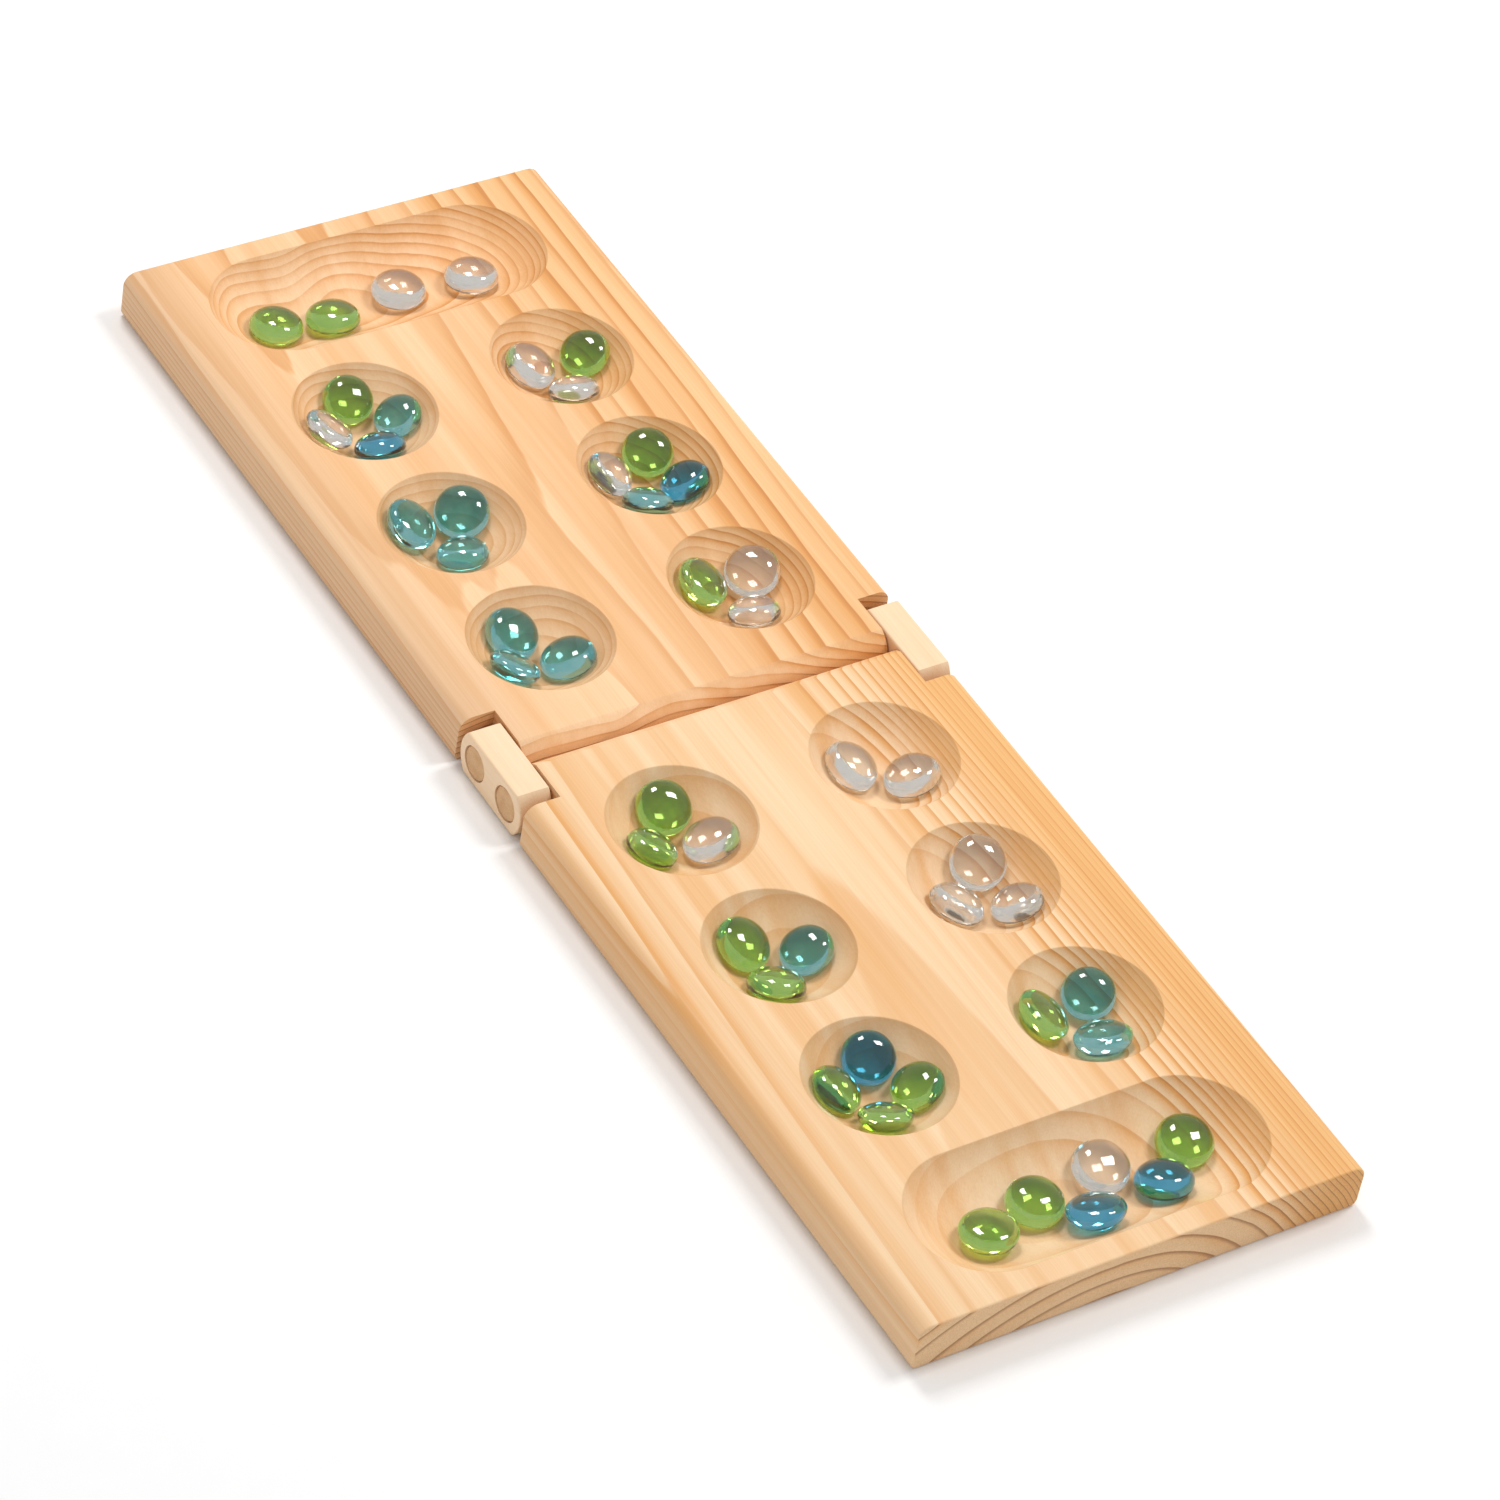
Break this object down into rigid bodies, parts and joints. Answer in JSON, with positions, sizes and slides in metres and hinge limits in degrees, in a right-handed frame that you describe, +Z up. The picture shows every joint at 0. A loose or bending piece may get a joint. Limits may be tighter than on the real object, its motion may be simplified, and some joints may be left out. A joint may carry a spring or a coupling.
{
  "type": "mancala board",
  "caption": "Folding wooden mancala board: pine halves with round pits and a long store at each end, joined by dowel-pinned hinge links, with glass stones lying in the pits.",
  "frame": {"origin": "centre of the underside of the open board, on the surface it lies on", "axes": "+X along the board towards the near half, +Y across it to the right-hand column of pits, +Z up out of the pits"},
  "size_m": [0.438, 0.138, 0.0171],
  "materials": {
    "pine": "bare sanded pine with orange growth rings",
    "link_wood": "bare sanded pale wood, plain grain",
    "dowel_wood": "bare end-grain dowel",
    "green_glass": "clear green glass, glossy",
    "teal_glass": "clear teal glass, glossy",
    "blue_glass": "clear blue glass, glossy",
    "clear_glass": "colourless glass, glossy"
  },
  "bodies": {
    "far_half": {"far_half": "pine", "far_dowel_left": "dowel_wood", "far_dowel_right": "dowel_wood"},
    "hinge_links": {"hinge_link_left": "link_wood", "hinge_link_right": "link_wood"},
    "near_half": {"near_half": "pine", "near_dowel_left": "dowel_wood", "near_dowel_right": "dowel_wood"},
    "far_left_3_stones": {"far_left_3_stone_1": "green_glass", "far_left_3_stone_2": "teal_glass", "far_left_3_stone_3": "blue_glass", "far_left_3_stone_4": "clear_glass"},
    "far_left_2_stones": {"far_left_2_stone_1": "teal_glass", "far_left_2_stone_2": "teal_glass", "far_left_2_stone_3": "teal_glass"},
    "far_left_1_stones": {"far_left_1_stone_1": "teal_glass", "far_left_1_stone_2": "teal_glass", "far_left_1_stone_3": "teal_glass"},
    "far_right_3_stones": {"far_right_3_stone_1": "clear_glass", "far_right_3_stone_2": "green_glass", "far_right_3_stone_3": "clear_glass"},
    "far_right_2_stones": {"far_right_2_stone_1": "green_glass", "far_right_2_stone_2": "clear_glass", "far_right_2_stone_3": "teal_glass", "far_right_2_stone_4": "blue_glass"},
    "far_right_1_stones": {"far_right_1_stone_1": "green_glass", "far_right_1_stone_2": "clear_glass", "far_right_1_stone_3": "clear_glass"},
    "near_left_1_stones": {"near_left_1_stone_1": "green_glass", "near_left_1_stone_2": "green_glass", "near_left_1_stone_3": "clear_glass"},
    "near_left_2_stones": {"near_left_2_stone_1": "green_glass", "near_left_2_stone_2": "teal_glass", "near_left_2_stone_3": "green_glass"},
    "near_left_3_stones": {"near_left_3_stone_1": "blue_glass", "near_left_3_stone_2": "green_glass", "near_left_3_stone_3": "green_glass", "near_left_3_stone_4": "green_glass"},
    "near_right_1_stones": {"near_right_1_stone_1": "clear_glass", "near_right_1_stone_2": "clear_glass"},
    "near_right_2_stones": {"near_right_2_stone_1": "clear_glass", "near_right_2_stone_2": "clear_glass", "near_right_2_stone_3": "clear_glass"},
    "near_right_3_stones": {"near_right_3_stone_1": "green_glass", "near_right_3_stone_2": "teal_glass", "near_right_3_stone_3": "teal_glass"},
    "far_store_stones": {"far_store_stone_1": "green_glass", "far_store_stone_2": "green_glass", "far_store_stone_3": "clear_glass", "far_store_stone_4": "clear_glass"},
    "near_store_stones": {"near_store_stone_1": "green_glass", "near_store_stone_2": "green_glass", "near_store_stone_3": "clear_glass", "near_store_stone_4": "blue_glass", "near_store_stone_5": "blue_glass", "near_store_stone_6": "green_glass"}
  },
  "joints": [
    {"name": "fold_far", "type": "hinge", "parent": "far_half", "child": "hinge_links", "pos_m": [-0.00835, 0, 0.0075], "axis": [0, -1, 0], "range_deg": [0, 90]},
    {"name": "fold_near", "type": "hinge", "parent": "hinge_links", "child": "near_half", "pos_m": [0.00835, 0, 0.0075], "axis": [0, -1, 0], "range_deg": [0, 90]},
    {"name": "lift_far_left_3_stones", "type": "slide", "parent": "far_half", "child": "far_left_3_stones", "axis": [0, 0, -1], "range_m": [-0.05, 0]},
    {"name": "lift_far_left_2_stones", "type": "slide", "parent": "far_half", "child": "far_left_2_stones", "axis": [0, 0, -1], "range_m": [-0.05, 0]},
    {"name": "lift_far_left_1_stones", "type": "slide", "parent": "far_half", "child": "far_left_1_stones", "axis": [0, 0, -1], "range_m": [-0.05, 0]},
    {"name": "lift_far_right_3_stones", "type": "slide", "parent": "far_half", "child": "far_right_3_stones", "axis": [0, 0, -1], "range_m": [-0.05, 0]},
    {"name": "lift_far_right_2_stones", "type": "slide", "parent": "far_half", "child": "far_right_2_stones", "axis": [0, 0, -1], "range_m": [-0.05, 0]},
    {"name": "lift_far_right_1_stones", "type": "slide", "parent": "far_half", "child": "far_right_1_stones", "axis": [0, 0, -1], "range_m": [-0.05, 0]},
    {"name": "lift_near_left_1_stones", "type": "slide", "parent": "near_half", "child": "near_left_1_stones", "axis": [0, 0, -1], "range_m": [-0.05, 0]},
    {"name": "lift_near_left_2_stones", "type": "slide", "parent": "near_half", "child": "near_left_2_stones", "axis": [0, 0, -1], "range_m": [-0.05, 0]},
    {"name": "lift_near_left_3_stones", "type": "slide", "parent": "near_half", "child": "near_left_3_stones", "axis": [0, 0, -1], "range_m": [-0.05, 0]},
    {"name": "lift_near_right_1_stones", "type": "slide", "parent": "near_half", "child": "near_right_1_stones", "axis": [0, 0, -1], "range_m": [-0.05, 0]},
    {"name": "lift_near_right_2_stones", "type": "slide", "parent": "near_half", "child": "near_right_2_stones", "axis": [0, 0, -1], "range_m": [-0.05, 0]},
    {"name": "lift_near_right_3_stones", "type": "slide", "parent": "near_half", "child": "near_right_3_stones", "axis": [0, 0, -1], "range_m": [-0.05, 0]},
    {"name": "lift_far_store_stones", "type": "slide", "parent": "far_half", "child": "far_store_stones", "axis": [0, 0, -1], "range_m": [-0.05, 0]},
    {"name": "lift_near_store_stones", "type": "slide", "parent": "near_half", "child": "near_store_stones", "axis": [0, 0, -1], "range_m": [-0.05, 0]}
  ]
}
